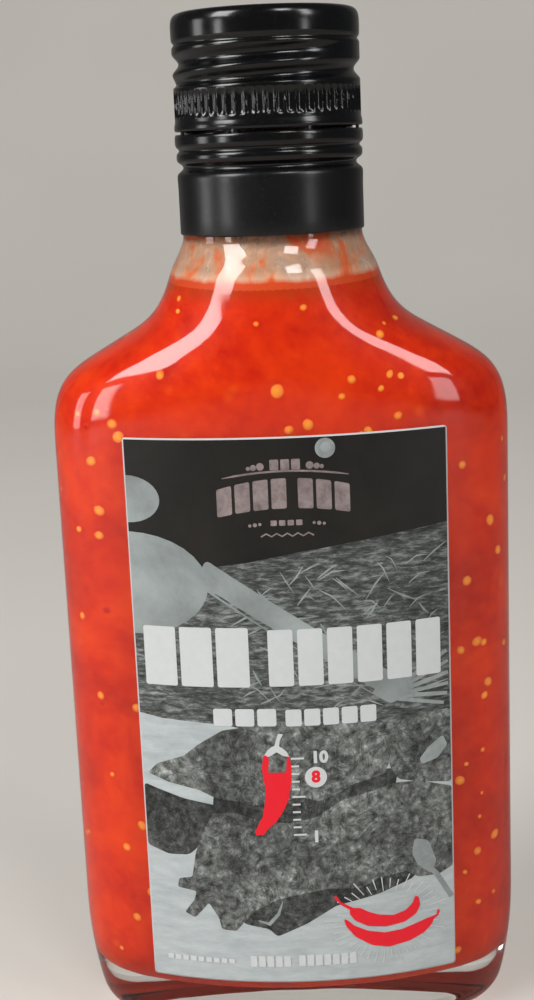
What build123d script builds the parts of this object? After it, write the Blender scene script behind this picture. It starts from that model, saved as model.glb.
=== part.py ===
from build123d import *
import os
from math import atan2, cos, radians, sin, tan

# Filled flask bottle of sauce with a rolled-on aluminium screw cap and a front label.
# Millimetres. The bottle stands on the XY plane, centred on Z, and its label faces -Y.

# Glass flask
body_width = 76.0
body_depth = 38.0
side_radius = 13.7  # rounding of the two narrow sides, as seen from above
side_wall = 2.5
base_thickness = 7.6
heel_radius = 4.4  # outer edge of the foot
inner_heel_radius = 7.0  # bottom corner of the cavity
foot_height = 20.0  # stretch over which the narrow sides draw in towards the floor
foot_draw = 3.0
foot_face_height = 10.5  # the same on the broad faces
foot_face_draw = 1.0
push_up_depth = 1.0  # hollow under the base
foot_ring_width = 4.0  # flat rim that the bottle stands on

# Shoulder
straight_height = 83.5  # upright sides above the foot
blend_height = 8.0  # upright stretch lofted in one with the foot and with the shoulder
corner_height = 14.0  # rounded corner from the upright side to the flank
corner_inset = 8.1
corner_rise = 9.1  # pull of the corner's upright end
corner_run = 5.3  # pull of its sloping end
flank_angle = 29.5  # degrees over the horizontal
throat_height = 9.5  # hollow curve from the flank to the round neck
throat_reach = 7.25
throat_run = 4.4  # pull of its sloping end
throat_rise = 4.6  # pull of its upper end
throat_slope = 0.33  # inward run for each unit of rise at that end
face_rise = 3.5  # the broad faces stand upright this far past the sides
neck_flare = 2.45
neck_height = 6.0  # round flare from the throat to the cap
neck_pull = 2.0
neck_wall = 2.4
bore_radius = 10.0
bore_taper_height = 5.9  # narrowing of the cavity inside the cap

# Screw cap, heights over its lower edge or drops below its top
cap_diameter = 30.0
cap_height = 34.5
cap_wall = 0.3  # thinnest metal, over the neck, in the grooves and over the mouth
cap_clearance = 0.1
cap_rim_radius = 1.3
cap_standoff = 0.1  # bare round neck under the lower edge
groove_round = 0.3
waist_height = 10.6
waist_depth = 1.0
waist_spread = 1.2  # half width of the groove at the surface
band_groove_height = 13.2
band_groove_depth = 0.4
band_groove_spread = 0.5
thread_drops = (7.1, 10.5)
thread_depth = 1.2
thread_spread = 1.2
top_groove_drop = 4.9
top_groove_depth = 0.4
top_groove_spread = 0.5
swell = 0.2  # the band and the broken edge stand out this far
swell_foot = 14.0
swell_top = 17.6
swell_slope = 0.3
break_height = 15.7
break_gap = 0.7
bridge_count = 8
bridge_width = 1.1
bridge_angle = 26.0
flute_count = 60
flute_radius = 0.5
flute_depth = 0.22
flute_margin = 0.5  # plain metal above and below the flutes

# Fill
headspace = 8.1  # bare glass between the sauce and the cap
fill_clearance = 0.05

# Label
label_width = 51.8
label_margin_below = 1.0  # over the drawn foot of the face
label_margin_above = 1.5  # under the turn of the face
label_offset = 0.8
label_thickness = 0.12
label_corner_radius = 1.0
glue_gap = 0.1

on_axis = 1e-6  # a radius smaller than this lies on the axis
half_width = body_width / 2
half_depth = body_depth / 2
side_centre = half_width - side_radius
crown_reach = (side_centre**2 + (half_depth - side_radius) ** 2) / (half_depth - side_radius) / 2
crown_radius = side_radius + crown_reach  # of the broad faces, which the sides run on from
crown_centre = crown_radius - half_depth  # of the front face, this far behind the axis
tangent_angle = atan2(crown_centre, side_centre)  # where a side meets a face, in every section
cap_radius = cap_diameter / 2
neck_radius = cap_radius - cap_wall - cap_clearance
throat_radius = neck_radius + neck_flare
shoulder_start = foot_height + straight_height
face_turn = shoulder_start + face_rise
corner_reach = min(corner_inset, 0.45 * (half_width - throat_radius))
throat_start_radius = throat_radius + min(throat_reach, 0.45 * (half_width - throat_radius))
flank_run = half_width - corner_reach - throat_start_radius
throat_start = shoulder_start + corner_height + flank_run * tan(radians(flank_angle))
throat_top = throat_start + throat_height
neck_top = throat_top + neck_height
cap_bottom = neck_top + cap_standoff
cap_top = cap_bottom + cap_height
mouth = cap_top - cap_wall
fill_level = cap_bottom - headspace
label_bottom = foot_face_height + label_margin_below
label_top = face_turn - label_margin_above


def oval(width, depth, height):
    """Section of two face arcs and two tangent side arcs; equal half sizes give a circle."""
    spread = (width - depth) / (cos(tangent_angle) + sin(tangent_angle) - 1)
    radius = depth - spread * (1 - sin(tangent_angle))
    x = width - radius + radius * cos(tangent_angle)
    y = radius * sin(tangent_angle)
    front = ThreePointArc((-x, -y, height), (0, -depth, height), (x, -y, height))
    right = ThreePointArc((x, -y, height), (width, 0, height), (x, y, height))
    back = ThreePointArc((x, y, height), (0, depth, height), (-x, y, height))
    left = ThreePointArc((-x, y, height), (-width, 0, height), (-x, -y, height))
    return Face(Wire([front, right, back, left]))


def drawn_in(height, stretch, draw):
    """Inset of the foot: none at the top of its stretch, all of it at the floor."""
    return draw * max(0.0, 1 - height / stretch) ** 2


def foot(floor, inset, corner):
    """Lower stretch of the flask from a floor height up, with its rounded bottom corner."""
    corner_steps = 8
    side_steps = 9
    levels = []
    for step in range(corner_steps + 1):
        turn = radians(90) * step / corner_steps
        levels.append((floor + corner * (1 - cos(turn)), corner * (1 - sin(turn))))
    side_rise = foot_height + blend_height - floor - corner
    for step in range(1, side_steps + 1):
        levels.append((floor + corner + side_rise * step / side_steps, 0))
    sections = []
    for height, rounding in levels:
        width = half_width - drawn_in(height, foot_height, foot_draw) - inset - rounding
        depth = half_depth - drawn_in(height, foot_face_height, foot_face_draw) - inset - rounding
        sections.append(oval(width, depth, height))
    return loft(sections)


def straight_body(inset):
    section = oval(half_width - inset, half_depth - inset, foot_height + blend_height)
    return extrude(section, amount=straight_height - 2 * blend_height)


def face_depth(height):
    """Half depth of the shoulder, upright at first and then easing in to the round neck."""
    share = min(max((height - face_turn) / (throat_top - face_turn), 0.0), 1.0)
    return half_depth + (throat_radius - half_depth) * share**3


def shoulder_outline():
    """Half outline seen from the front: the rounded corner, and the throat up to the neck."""
    corner_end = Vector(half_width - corner_reach, shoulder_start + corner_height)
    throat_foot = Vector(throat_start_radius, throat_start)
    inward = Vector(-1, tan(radians(flank_angle)))
    corner = Bezier(
        (half_width, shoulder_start),
        (half_width, shoulder_start + corner_rise),
        corner_end - inward * corner_run,
        corner_end,
    )
    throat = Bezier(
        throat_foot,
        throat_foot + inward * throat_run,
        (throat_radius + throat_rise * throat_slope, throat_top - throat_rise),
        (throat_radius, throat_top),
    )
    return corner, throat


def shoulder_sections(inset):
    """Half width, half depth and height up the shoulder, moved in square to its outline."""
    corner_steps = 8
    throat_steps = 6
    corner, throat = shoulder_outline()
    places = [(corner, step / corner_steps) for step in range(corner_steps + 1)]
    places += [(throat, step / throat_steps) for step in range(throat_steps + 1)]
    sections = []
    for curve, share in places:
        place = curve @ share
        along = curve % share
        width = place.X - inset * along.Y
        height = place.Y + inset * along.X
        sections.append((width, face_depth(height) - inset, height))
    width, _, height = sections.pop()
    upright = [
        (half_width - inset, half_depth - inset, shoulder_start - blend_height * share)
        for share in (1, 0.5)
    ]
    return upright + sections + [(width, width, height)]


def shoulder(inset):
    return loft([oval(*section) for section in shoulder_sections(inset)])


def turned(outline):
    """Solid turned about Z from an outline of radii and heights that is open to the axis."""
    with BuildPart() as solid:
        with BuildSketch(Plane.XZ):
            with BuildLine() as edge:
                add(outline)
                start = edge.line @ 0
                end = edge.line @ 1
                if end.X > on_axis:
                    end = Line(end, (0, end.Y)) @ 1
                Polyline(end, (0, start.Y), start)
            make_face()
        revolve(axis=Axis.Z)
    return solid.part.solid()


def finish_outline(clearance):
    """Glass inside the cap, which the cap's grooves are rolled down on, or the cap's hollow."""
    plain = cap_radius - cap_wall - cap_clearance + clearance
    bead = plain - band_groove_depth
    dip = plain - waist_depth
    thread = plain - thread_depth
    half_waist = waist_spread / 2
    return [
        (plain, cap_bottom),
        (plain, cap_bottom + waist_height - waist_spread),
        (dip, cap_bottom + waist_height - half_waist + clearance),
        (dip, cap_bottom + waist_height + half_waist - clearance),
        (bead, cap_bottom + waist_height + waist_spread),
        (bead, cap_bottom + swell_foot),
        (thread, cap_bottom + swell_foot + thread_depth),
        (thread, mouth),
    ]


def neck():
    """Round neck from the throat up to the mouth, with its bore still filled."""
    flare = Bezier(
        (throat_radius, throat_top),
        (throat_radius - neck_pull * throat_slope, throat_top + neck_pull),
        (neck_radius, neck_top - neck_pull),
        (neck_radius, neck_top),
    )
    finish = Polyline((neck_radius, neck_top), *finish_outline(0))
    return turned([flare, finish])


def cavity(inset, floor):
    """Room inside the glass, from the floor to the mouth."""
    low = foot(floor, inset, inner_heel_radius) + straight_body(inset) + shoulder(inset)
    width, _, height = shoulder_sections(inset)[-1]
    bore = bore_radius - (inset - side_wall)
    line = Polyline(
        (width, height),
        (neck_radius - neck_wall - (inset - side_wall), neck_top),
        (bore, neck_top + bore_taper_height),
        (bore, mouth),
    )
    return low + turned([line])


def push_up():
    """Shallow hollow under the base, inside the rim that the bottle stands on."""
    inset = heel_radius + foot_ring_width
    width = half_width - foot_draw - inset
    depth = half_depth - foot_face_draw - inset
    top = push_up_depth
    return loft([oval(width, depth, 0), oval(width - 2 * top, depth - 2 * top, top)], ruled=True)


def glass_bottle():
    body = foot(0, 0, heel_radius) + straight_body(0) + shoulder(0) + neck()
    return body - push_up() - cavity(side_wall, base_thickness)


def sauce():
    """What fills the flask, resting on its floor, up to a level in the neck."""
    room = cavity(side_wall + fill_clearance, base_thickness)
    return split(room, Plane.XY.offset(fill_level), keep=Keep.BOTTOM)


def groove(height, depth, spread):
    return [
        (cap_radius, height - spread),
        (cap_radius - depth, height),
        (cap_radius, height + spread),
    ]


def cap_outline():
    """Outside of the cap from its lower edge to the middle of its top, with its grooves."""
    points = [(cap_radius, 0)]
    points += groove(waist_height, waist_depth, waist_spread)
    points += groove(band_groove_height, band_groove_depth, band_groove_spread)
    points += [
        (cap_radius, swell_foot),
        (cap_radius + swell, swell_foot + swell_slope),
        (cap_radius + swell, swell_top),
        (cap_radius, swell_top + swell_slope),
    ]
    for drop in sorted(thread_drops, reverse=True):
        points += groove(cap_height - drop, thread_depth, thread_spread)
    points += groove(cap_height - top_groove_drop, top_groove_depth, top_groove_spread)
    rounds = [groove_round] * (len(points) - 1) + [cap_rim_radius]
    points += [(cap_radius, cap_height), (0, cap_height)]
    return FilletPolyline(
        [(radius, cap_bottom + height) for radius, height in points], radius=rounds
    )


def flutes():
    """Upright hollows round the plain stretch between the broken edge and the threads."""
    low = cap_bottom + swell_top + swell_slope + flute_margin
    high = cap_top - max(thread_drops) - thread_spread - flute_margin
    place = cap_radius + flute_radius - flute_depth
    straight = high - low - 2 * flute_radius
    tool = Cylinder(flute_radius, straight)
    tool += [Pos(0, 0, side * straight / 2) * Sphere(flute_radius) for side in (-1, 1)]
    ring = Pos(0, 0, (low + high) / 2) * PolarLocations(place, flute_count)
    return [spot * tool for spot in ring]


def break_cuts():
    """Slits between the bridges that still hold the cap to its band."""
    outer = cap_radius + 2 * swell
    slit = Cylinder(outer, break_gap) - Cylinder(neck_radius - thread_depth, break_gap)
    spoke = Pos(cap_radius, 0, 0) * Box(cap_diameter, bridge_width, break_gap)
    for bridge in range(bridge_count):
        slit -= Rot(0, 0, bridge_angle + bridge * 360 / bridge_count) * spoke
    return Pos(0, 0, cap_bottom + break_height + break_gap / 2) * slit


def screw_cap():
    outside = turned([cap_outline()])
    hollow = turned([Polyline(*finish_outline(cap_clearance))])
    return outside - hollow - flutes() - break_cuts()


def label():
    """Paper label, wrapped round the crown of the front face."""
    with BuildSketch(Plane.XZ) as outline:
        with Locations((label_offset, (label_bottom + label_top) / 2)):
            RectangleRounded(label_width, label_top - label_bottom, label_corner_radius)
    slab = extrude(outline.sketch, amount=body_depth)
    axis = Pos(0, crown_centre, (label_bottom + label_top) / 2)
    height = label_top - label_bottom
    inner = crown_radius + glue_gap
    paper = Cylinder(inner + label_thickness, height) - Cylinder(inner, height)
    return (axis * paper) & slab


nodes = {
    "glass_bottle": glass_bottle,
    "hot_sauce": sauce,
    "screw_cap": screw_cap,
    "front_label": label,
}

os.makedirs("parts", exist_ok=True)
for name, build in nodes.items():
    export_step(build(), f"parts/{name}.step")
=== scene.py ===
import math
import random

import bmesh
import bpy
from mathutils import Matrix, Vector


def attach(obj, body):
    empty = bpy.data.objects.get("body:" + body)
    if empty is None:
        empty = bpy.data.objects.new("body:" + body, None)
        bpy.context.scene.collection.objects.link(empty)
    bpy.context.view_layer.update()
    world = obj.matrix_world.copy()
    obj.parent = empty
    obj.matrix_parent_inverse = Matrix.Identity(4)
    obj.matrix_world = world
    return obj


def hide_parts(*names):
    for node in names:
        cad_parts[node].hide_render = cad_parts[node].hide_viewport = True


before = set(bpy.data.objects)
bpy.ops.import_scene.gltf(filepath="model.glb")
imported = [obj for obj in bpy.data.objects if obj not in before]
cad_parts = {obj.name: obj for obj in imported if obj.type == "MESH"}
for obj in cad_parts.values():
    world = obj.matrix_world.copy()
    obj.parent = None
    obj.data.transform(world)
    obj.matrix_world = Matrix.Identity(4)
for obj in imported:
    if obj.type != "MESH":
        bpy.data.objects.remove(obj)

# Flask bottle of chilli sauce: clear glass, the sauce in it, a black rolled-on screw cap and a
# printed front label. The numbers below are millimetres, and MM turns them into metres.
MM = 0.001
MERGE = 1e-6

# Flask, as in the CAD model
HALF_WIDTH = 38.0
HALF_DEPTH = 19.0
WALL = 2.5
BASE_THICKNESS = 7.6
HEEL_RADIUS = 4.4
INNER_HEEL_RADIUS = 7.0
FOOT_HEIGHT = 20.0
FOOT_DRAW = 3.0
FOOT_FACE_HEIGHT = 10.5
FOOT_FACE_DRAW = 1.0
FOOT_RIM = 4.0
PUSH_UP = 1.0
SHOULDER_START = 103.5
FACE_TURN = 107.0
THROAT_TOP = 130.168
THROAT_RADIUS = 17.05
NECK_RADIUS = 14.6
NECK_TOP = 136.168
FILL_LEVEL = 128.168
CROWN_CENTRE = 53.06
CROWN_RADIUS = CROWN_CENTRE + HALF_DEPTH

# Each section is two face arcs and two side arcs, which meet a whole number of steps round
RING = 88
SIDE_STEPS = 16
MEET = math.tau * SIDE_STEPS / RING
END_SPAN = 12  # steps across each flat end

# Cap
CAP_BOTTOM = 136.268
CAP_RADIUS = 15.0
CAP_METAL = 0.22
CAP_COLUMNS = 360

# Label, about its own middle line and over its own lower edge
LABEL_MIDDLE = 0.8
LABEL_BOTTOM = 11.5
LABEL_HEIGHT = 94.0
LABEL_WIDTH = 51.8
PAPER_SURFACE = CROWN_RADIUS + 0.105
PAPER_THICKNESS = 0.1
INK_STEP = 0.011  # each ink lies this far over the one before
INK_THICKNESS = 0.01
DRAWING_PLANE = -25.0  # the plane in front of the label, on which print is drawn
STRIP = 1.2  # width of the upright strips that bend round the paper

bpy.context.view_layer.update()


# Modelling by hand


def drop_all():
    bpy.ops.object.select_all(action="DESELECT")


def pick_all():
    bpy.ops.mesh.select_all(action="SELECT")


def new_part(name):
    """Starts a piece with one point at the origin, and stays in edit mode."""
    drop_all()
    bpy.ops.mesh.primitive_plane_add(size=MM, enter_editmode=True)
    bpy.context.object.name = name
    bpy.ops.mesh.select_mode(type="VERT")
    bpy.ops.mesh.merge(type="CENTER")
    return bpy.context.object


def pick(test):
    """Selects the points of the mesh being edited that pass the test, which is given millimetres."""
    bpy.ops.mesh.select_mode(type="VERT")
    bpy.ops.mesh.select_all(action="DESELECT")
    mesh = bmesh.from_edit_mesh(bpy.context.object.data)
    for vertex in mesh.verts:
        vertex.select_set(bool(test(vertex.co / MM)))
    mesh.select_flush(True)
    bmesh.update_edit_mesh(bpy.context.object.data)


def draw_line(points):
    """Draws a line from the piece's one point through these points."""
    bpy.ops.transform.translate(value=Vector(points[0]) * MM)
    for start, end in zip(points, points[1:]):
        step = (Vector(end) - Vector(start)) * MM
        bpy.ops.mesh.extrude_vertices_move(TRANSFORM_OT_translate={"value": step})


def turn_line(columns):
    """Spins the drawn line about Z into a closed surface."""
    pick_all()
    bpy.ops.mesh.spin(steps=columns, angle=math.tau, axis=(0, 0, 1), use_auto_merge=True)
    tidy_mesh()


def tidy_mesh():
    pick_all()
    bpy.ops.mesh.remove_doubles(threshold=MERGE)
    bpy.ops.mesh.normals_make_consistent(inside=False)


def leave(smooth=40):
    """Back to object mode, shaded smooth up to this angle in degrees."""
    bpy.ops.object.mode_set(mode="OBJECT")
    if smooth:
        bpy.ops.object.shade_smooth_by_angle(angle=math.radians(smooth))
    return bpy.context.object


def apply_modifier(piece, kind, **settings):
    drop_all()
    piece.select_set(True)
    bpy.context.view_layer.objects.active = piece
    modifier = piece.modifiers.new(kind.title(), kind)
    for setting, value in settings.items():
        setattr(modifier, setting, value)
    bpy.ops.object.modifier_apply(modifier=modifier.name)


def join(pieces, name):
    drop_all()
    for piece in pieces:
        piece.select_set(True)
    bpy.context.view_layer.objects.active = pieces[0]
    bpy.ops.object.join()
    bpy.context.object.name = name
    return bpy.context.object


def hand_over(piece, finish, node=None):
    """Gives a finished piece its finish and its body."""
    piece.data.materials.clear()
    piece.data.materials.append(finish)
    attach(piece, "root")
    if node:
        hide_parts(node)


# Node building


class Nodes:
    """Short hand for a node tree: add a node with its inputs, and link what is linked."""

    def __init__(self, tree):
        self.tree = tree

    def add(self, kind, inputs=None, **settings):
        node = self.tree.nodes.new(kind)
        for setting, value in settings.items():
            setattr(node, setting, value)
        for name, value in (inputs or {}).items():
            self.put(node, name, value)
        return node

    def put(self, node, name, value):
        socket = node.inputs[name]
        if isinstance(value, bpy.types.NodeSocket):
            self.tree.links.new(value, socket)
        else:
            socket.default_value = value

    def math(self, operation, first, second=0.0, clamp=False):
        node = self.add("ShaderNodeMath", {0: first, 1: second}, operation=operation)
        node.use_clamp = clamp
        return node.outputs[0]

    def blend(self, factor, first, second, kind="MIX"):
        node = self.add("ShaderNodeMix", data_type="RGBA", blend_type=kind)
        self.put(node, 0, factor)
        self.put(node, 6, first)
        self.put(node, 7, second)
        return node.outputs[2]

    def ramp(self, value, stops, colours=False):
        """A colour ramp through (place, grey level or colour) stops."""
        node = self.add("ShaderNodeValToRGB", {"Fac": value})
        marks = node.color_ramp.elements
        while len(marks) < len(stops):
            marks.new(0.5)
        for mark, (place, level) in zip(marks, stops):
            mark.position = place
            mark.color = (*level, 1) if colours else (level, level, level, 1)
        return node.outputs["Color"]

    def noise(self, place, scale, detail=3.0, roughness=0.5, **more):
        inputs = {"Vector": place, "Scale": scale, "Detail": detail, "Roughness": roughness}
        inputs.update(more)
        return self.add("ShaderNodeTexNoise", inputs).outputs["Fac"]

    def place(self, scale=(1, 1, 1), turn=(0, 0, 0)):
        """Object coordinates, scaled and turned."""
        source = self.add("ShaderNodeTexCoord").outputs["Object"]
        inputs = {"Vector": source, "Scale": scale, "Rotation": turn}
        return self.add("ShaderNodeMapping", inputs).outputs["Vector"]

    def height(self):
        """Height over the floor in metres."""
        source = self.add("ShaderNodeTexCoord").outputs["Object"]
        return self.add("ShaderNodeSeparateXYZ", {0: source}).outputs["Z"]

    def bump(self, height, strength, distance):
        inputs = {"Height": height, "Strength": strength, "Distance": distance}
        return self.add("ShaderNodeBump", inputs).outputs["Normal"]


def new_finish(name):
    material = bpy.data.materials.new(name)
    material.use_nodes = True
    nodes = Nodes(material.node_tree)
    return material, nodes, material.node_tree.nodes["Principled BSDF"]


def colour(red, green, blue):
    """Linear colour of a screen colour."""
    def linear(value):
        value /= 255
        return value / 12.92 if value <= 0.04045 else ((value + 0.055) / 1.055) ** 2.4
    return (linear(red), linear(green), linear(blue), 1)


def grain_group():
    """Fine print or metal grain: a mask of specks and a soft mottle, used by several finishes."""
    group = bpy.data.node_groups.new("fine_grain", "ShaderNodeTree")
    face = group.interface
    face.new_socket("Vector", in_out="INPUT", socket_type="NodeSocketVector")
    scale = face.new_socket("Scale", in_out="INPUT", socket_type="NodeSocketFloat")
    scale.default_value = 1000
    face.new_socket("Mottle", in_out="OUTPUT", socket_type="NodeSocketFloat")
    face.new_socket("Specks", in_out="OUTPUT", socket_type="NodeSocketFloat")
    nodes = Nodes(group)
    entry = nodes.add("NodeGroupInput")
    leaving = nodes.add("NodeGroupOutput")
    mottle = nodes.noise(entry.outputs["Vector"], entry.outputs["Scale"], 4.0, 0.6)
    fine = nodes.math("MULTIPLY", entry.outputs["Scale"], 3.0)
    specks = nodes.noise(entry.outputs["Vector"], fine, 1.0)
    sharp = nodes.ramp(specks, [(0.62, 0), (0.72, 1)])
    nodes.put(leaving, "Mottle", mottle)
    nodes.put(leaving, "Specks", sharp)
    return group


fine_grain = grain_group()


def add_grain(nodes, place, scale):
    node = nodes.add("ShaderNodeGroup", node_tree=fine_grain)
    nodes.put(node, "Vector", place)
    nodes.put(node, "Scale", scale)
    return node


# Flask sections and levels


def oval_arcs(width, depth):
    """Radius of the side arcs, and how much longer the face arcs' radius is."""
    spread = (width - depth) / (math.cos(MEET) + math.sin(MEET) - 1)
    return depth - spread * (1 - math.sin(MEET)), spread


def arc_places(width, depth):
    """Centre and radius of the right, left, front and back arcs."""
    side, spread = oval_arcs(width, depth)
    face = side + spread
    return [
        ((width - side, 0), side),
        ((side - width, 0), side),
        ((0, face - depth), face),
        ((0, depth - face), face),
    ]


def arc_of(place, width, depth):
    """Which of the four arcs a point of the ring is on; the sides have the points they share."""
    side, _ = oval_arcs(width, depth)
    reach = width - side + side * math.cos(MEET) - 1e-3
    if abs(place.x) >= reach:
        return 0 if place.x > 0 else 1
    return 2 if place.y < 0 else 3


def reshape_ring(was, now):
    """Draws the newest ring's four arcs to the next section, and moves it to its height."""
    mesh = bmesh.from_edit_mesh(bpy.context.object.data)
    mesh.verts.ensure_lookup_table()
    ring = mesh.verts[-RING:]
    arcs = [[], [], [], []]
    for vertex in ring:
        arcs[arc_of(vertex.co / MM, was[0], was[1])].append(vertex)
    old_places = arc_places(was[0], was[1])
    new_places = arc_places(now[0], now[1])
    height = was[2] * MM
    for arc, (old, old_radius), (new, new_radius) in zip(arcs, old_places, new_places):
        for vertex in ring:
            vertex.select_set(False)
        for vertex in arc:
            vertex.select_set(True)
        grow = new_radius / old_radius
        centre = (old[0] * MM, old[1] * MM, height)
        bpy.ops.transform.resize(value=(grow, grow, 1), center_override=centre)
        shift = ((new[0] - old[0]) * MM, (new[1] - old[1]) * MM, (now[2] - was[2]) * MM)
        bpy.ops.transform.translate(value=shift)
    for vertex in ring:
        vertex.select_set(True)
    mesh.select_flush(True)
    bmesh.update_edit_mesh(bpy.context.object.data)


def draw_flask(name, levels, hollow=False):
    """A closed skin through sections of half width, half depth and height; a hollow one is a
    sleeve, whose last section joins its first."""
    drop_all()
    bpy.ops.mesh.primitive_circle_add(vertices=RING, radius=MM, enter_editmode=True)
    bpy.context.object.name = name
    bpy.ops.mesh.select_mode(type="VERT")
    pick_all()
    reshape_ring((1.0, 1.0, 0.0), levels[0])
    first = levels[0]
    for was, now in zip(levels, levels[1:]):
        bpy.ops.mesh.select_mode(type="EDGE")
        bpy.ops.mesh.extrude_edges_move()
        bpy.ops.mesh.select_mode(type="VERT")
        reshape_ring(was, now)
    last = levels[-1]
    for width, _, height in () if hollow else (first, last):
        pick(lambda place: abs(place.z - height) < 1e-3 and abs(place.x) < width + 0.01)
        bpy.ops.mesh.fill_grid(span=END_SPAN)
    if hollow:
        pick(lambda place: abs(place.z - first[2]) < 1e-3)
        bpy.ops.mesh.bridge_edge_loops()
    tidy_mesh()
    return leave(60)


def drawn_in(height, stretch, draw):
    return draw * max(0.0, 1 - height / stretch) ** 2


def foot_levels(floor, inset, corner):
    """Rounded bottom corner and the foot that draws in, up to the upright sides."""
    places = []
    for step in range(9):
        turn = math.pi / 2 * step / 8
        places.append((floor + corner * (1 - math.cos(turn)), corner * (1 - math.sin(turn))))
    low = floor + corner
    places += [(low + (FOOT_HEIGHT - low) * step / 6, 0) for step in range(1, 7)]
    levels = []
    for height, rounding in places:
        width = HALF_WIDTH - drawn_in(height, FOOT_HEIGHT, FOOT_DRAW) - inset - rounding
        depth = HALF_DEPTH - drawn_in(height, FOOT_FACE_HEIGHT, FOOT_FACE_DRAW) - inset - rounding
        levels.append((width, depth, height))
    return levels


def face_depth(height):
    share = min(max((height - FACE_TURN) / (THROAT_TOP - FACE_TURN), 0.0), 1.0)
    return HALF_DEPTH + (THROAT_RADIUS - HALF_DEPTH) * share**3


def curve_point(points, share):
    """A point of a Bezier curve and its direction there."""
    a, b, c, d = (Vector(point) for point in points)
    left = 1 - share
    place = a * left**3 + b * 3 * left**2 * share + c * 3 * left * share**2 + d * share**3
    along = (b - a) * left**2 + (c - b) * 2 * left * share + (d - c) * share**2
    return place, along.normalized()


# Outline of the shoulder and the neck: (half width, height) of each curve's four points
CORNER_CURVE = ((HALF_WIDTH, SHOULDER_START), (HALF_WIDTH, 112.6), (35.2, 114.501), (29.9, 117.5))
THROAT_CURVE = ((24.3, 120.668), (19.9, 123.157), (18.568, 125.568), (THROAT_RADIUS, THROAT_TOP))
FLARE_CURVE = (
    (THROAT_RADIUS, THROAT_TOP), (16.39, 132.168), (NECK_RADIUS, 134.168), (NECK_RADIUS, NECK_TOP),
)


def shoulder_levels(inset):
    """Upright sides, rounded corner, flank and throat."""
    heights = (24, 32, 46, 60, 74, 86, 96, 101, SHOULDER_START)
    levels = [(HALF_WIDTH - inset, HALF_DEPTH - inset, height) for height in heights]
    places = [(CORNER_CURVE, step / 12) for step in range(1, 13)]
    places += [(THROAT_CURVE, step / 12) for step in range(13)]
    for curve, share in places:
        point, along = curve_point(curve, share)
        width = point.x - inset * along.y
        height = point.y + inset * along.x
        depth = min(face_depth(height) - inset, width)
        levels.append((width, depth, height))
    width, _, height = levels.pop()
    return levels + [(width, width, height)]


def glass_levels():
    """Up the outside to the mouth, and down the inside to the floor."""
    foot = foot_levels(0, 0, HEEL_RADIUS)
    rim_width, rim_depth, _ = foot[0]
    inner_width = rim_width - FOOT_RIM
    inner_depth = rim_depth - FOOT_RIM
    levels = [
        (inner_width - 3.2 * PUSH_UP, inner_depth - 3.2 * PUSH_UP, 1.1 * PUSH_UP),
        (inner_width - 2 * PUSH_UP, inner_depth - 2 * PUSH_UP, PUSH_UP),
        (inner_width - 0.8 * PUSH_UP, inner_depth - 0.8 * PUSH_UP, 0.5 * PUSH_UP),
        (inner_width, inner_depth, 0.05),
        (inner_width + 1, inner_depth + 1, 0),
        (rim_width - 1, rim_depth - 1, 0),
    ]
    levels += foot + shoulder_levels(0)
    for step in range(1, 9):
        point, _ = curve_point(FLARE_CURVE, step / 8)
        levels.append((point.x, point.x, point.y))
    round_part = [
        (NECK_RADIUS, 145.6), (13.6, 146.3), (13.6, 147.4), (14.2, 148.0), (14.2, 150.2), (13.4, 151.4),
        (13.4, 160.0), (13.4, 169.6), (12.9, 170.3), (11.7, 170.4), (10.5, 170.3), (10.0, 169.6),
        (10.0, 156.0), (10.0, 143.0), (10.4, 141.0), (12.2, NECK_TOP), (13.6, 132.4),
    ]
    levels += [(radius, radius, height) for radius, height in round_part]
    levels += reversed(foot_levels(BASE_THICKNESS, WALL, INNER_HEEL_RADIUS) + shoulder_levels(WALL))
    return levels


def glass_flask():
    flask = draw_flask("glass_flask", glass_levels())
    apply_modifier(flask, "SUBSURF", levels=1, render_levels=1)
    return flask


IN_WALL = 0.15  # the sauce reaches this far into the glass, so that no air shows between


def level_at(levels, height):
    """The section between two levels at this height."""
    for low, high in zip(levels, levels[1:]):
        if low[2] <= height < high[2]:
            share = (height - low[2]) / (high[2] - low[2])
            width, depth = (low[i] + (high[i] - low[i]) * share for i in (0, 1))
            return (width, depth, height)
    return levels[-1]


def sauce_levels():
    inset = WALL - IN_WALL
    floor = BASE_THICKNESS - IN_WALL
    levels = foot_levels(floor, inset, INNER_HEEL_RADIUS)
    shoulder = shoulder_levels(inset)
    levels += [level for level in shoulder if level[2] < FILL_LEVEL - 0.6]
    width, depth, _ = level_at(shoulder, FILL_LEVEL)
    levels.append((width, depth, FILL_LEVEL))
    for step_in, drop in ((0.25, -0.2), (0.6, 0.1), (1.3, 0.5), (2.6, 0.75), (6.0, 0.8)):
        levels.append((width - step_in, depth - step_in, FILL_LEVEL - drop))
    return levels


def sauce_fill():
    fill = draw_flask("sauce_fill", sauce_levels())
    apply_modifier(fill, "SUBSURF", levels=1, render_levels=1)
    return fill


FILM = 0.12  # the smear's reach into the glass, and out of it


def sauce_film():
    """Thin smear of sauce left on the glass above the level."""
    low = FILL_LEVEL - 0.5
    skins = []
    for side in (-1, 1):
        throat = shoulder_levels(WALL + side * FILM)
        skin = [level_at(throat, low)] + [level for level in throat if level[2] > low + 0.3]
        for radius, height in ((13.6, 132.4), (12.2, NECK_TOP), (11.0, 139.4), (10.45, 140.9)):
            skin.append((radius - side * FILM, radius - side * FILM, height))
        skins.append(skin)
    return draw_flask("sauce_film", skins[0] + skins[1][::-1], hollow=True)


# Seeds and flakes of chilli, which lie against the glass

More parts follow.
